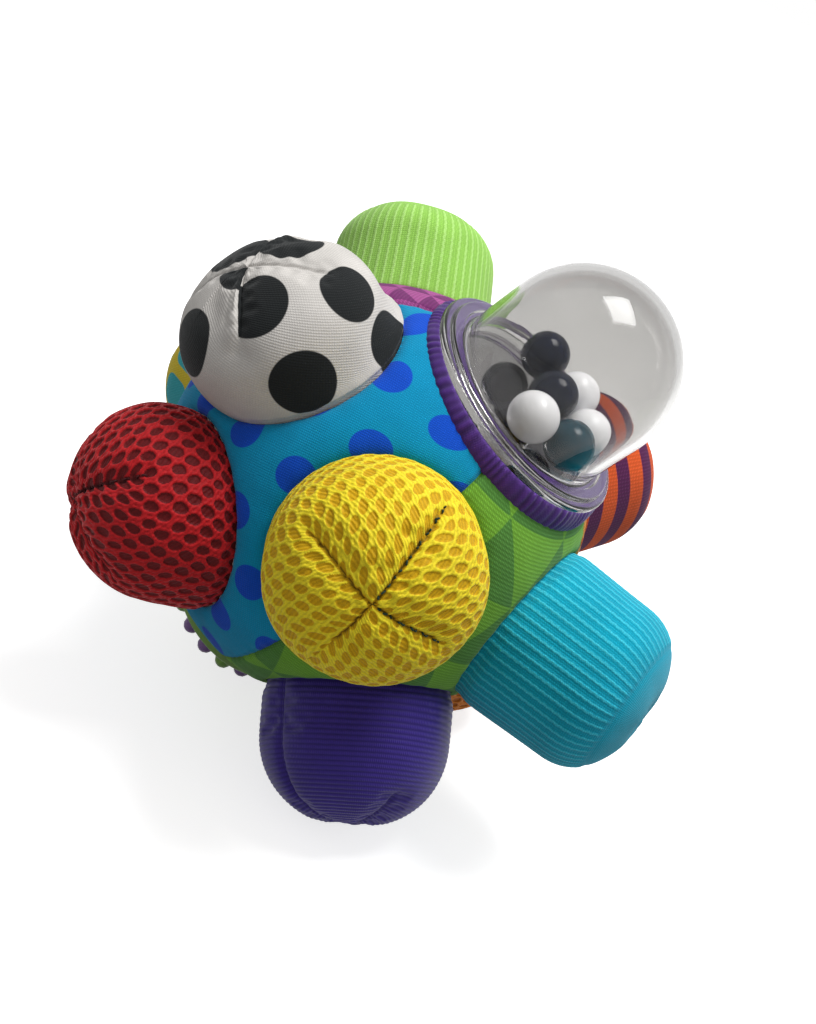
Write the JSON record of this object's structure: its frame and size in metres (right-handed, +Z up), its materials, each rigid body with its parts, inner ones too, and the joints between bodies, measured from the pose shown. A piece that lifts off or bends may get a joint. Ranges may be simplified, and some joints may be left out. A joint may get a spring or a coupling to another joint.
{
  "type": "sensory ball",
  "caption": "Stuffed fabric sensory ball with textured knobs, a clear bead rattle dome and a nubbed rubber teether.",
  "frame": {"origin": "on the floor, under the middle of the standing ball's box", "axes": "+Z up; the rattle dome leans towards +X; the violet standing knob is on the -Y side"},
  "size_m": [0.143, 0.1328, 0.1297],
  "materials": {
    "fibre_filling": "loose polyester fibre",
    "blue_dot_print": "matt printed weave",
    "green_triangle_print": "matt printed weave",
    "orange_triangle_print": "matt printed weave",
    "magenta_triangle_print": "matt printed weave",
    "yellow_spacer_mesh": "matt spacer mesh",
    "white_dot_twill": "matt printed twill",
    "red_spacer_mesh": "matt spacer mesh",
    "violet_ottoman_rib": "ribbed, slight sheen",
    "turquoise_corduroy": "corduroy pile",
    "lime_corduroy": "corduroy pile",
    "striped_rib": "ribbed, striped",
    "spotted_knit": "matt printed knit",
    "orange_spacer_mesh": "matt spacer mesh",
    "pink_ottoman_rib": "ribbed, slight sheen",
    "clear_dome_plastic": "clear, polished",
    "pale_plate_plastic": "polished",
    "purple_satin": "gathered satin",
    "green_rubber": "soft, matt",
    "purple_rubber": "soft, matt",
    "white_bead_plastic": "moulded, glossy",
    "navy_bead_plastic": "moulded, glossy",
    "teal_bead_plastic": "moulded, glossy"
  },
  "bodies": {
    "ball": {"ball_filling": "fibre_filling", "blue_dot_gore": "blue_dot_print", "green_triangle_gore": "green_triangle_print", "orange_triangle_gore": "orange_triangle_print", "magenta_triangle_gore": "magenta_triangle_print", "yellow_mesh_knob_cover": "yellow_spacer_mesh", "yellow_mesh_knob_filling": "fibre_filling", "white_dot_knob_cover": "white_dot_twill", "white_dot_knob_filling": "fibre_filling", "red_mesh_knob_cover": "red_spacer_mesh", "red_mesh_knob_filling": "fibre_filling", "violet_rib_knob_cover": "violet_ottoman_rib", "violet_rib_knob_filling": "fibre_filling", "turquoise_cord_knob_cover": "turquoise_corduroy", "turquoise_cord_knob_filling": "fibre_filling", "lime_cord_knob_cover": "lime_corduroy", "lime_cord_knob_filling": "fibre_filling", "striped_knob_cover": "striped_rib", "striped_knob_filling": "fibre_filling", "spotted_knob_cover": "spotted_knit", "spotted_knob_filling": "fibre_filling", "orange_mesh_knob_cover": "orange_spacer_mesh", "orange_mesh_knob_filling": "fibre_filling", "pink_rib_knob_cover": "pink_ottoman_rib", "pink_rib_knob_filling": "fibre_filling", "rattle_dome": "clear_dome_plastic", "rattle_plate": "pale_plate_plastic", "rattle_collar": "purple_satin", "teether_cap": "green_rubber", "teether_purple_nubs": "purple_rubber"},
    "white_bead_left": {"white_bead_left": "white_bead_plastic"},
    "teal_bead": {"teal_bead": "teal_bead_plastic"},
    "white_bead_right": {"white_bead_right": "white_bead_plastic"},
    "white_bead_back": {"white_bead_back": "white_bead_plastic"},
    "navy_bead_back": {"navy_bead_back": "navy_bead_plastic"},
    "navy_bead_middle": {"navy_bead_middle": "navy_bead_plastic"}
  },
  "joints": [
    {"name": "white_bead_left_toss", "type": "slide", "parent": "ball", "child": "white_bead_left", "axis": [0.4307, 0, 0.9025], "range_m": [0, 0.0092]},
    {"name": "teal_bead_toss", "type": "slide", "parent": "ball", "child": "teal_bead", "axis": [0.4307, 0, 0.9025], "range_m": [0, 0.0092]},
    {"name": "white_bead_right_toss", "type": "slide", "parent": "ball", "child": "white_bead_right", "axis": [0.4307, 0, 0.9025], "range_m": [0, 0.0092]},
    {"name": "white_bead_back_toss", "type": "slide", "parent": "ball", "child": "white_bead_back", "axis": [0.4307, 0, 0.9025], "range_m": [0, 0.0092]},
    {"name": "navy_bead_back_toss", "type": "slide", "parent": "ball", "child": "navy_bead_back", "axis": [0.4307, 0, 0.9025], "range_m": [0, 0.0092]},
    {"name": "navy_bead_middle_toss", "type": "slide", "parent": "ball", "child": "navy_bead_middle", "axis": [0.4307, 0, 0.9025], "range_m": [0, 0.0223]}
  ]
}
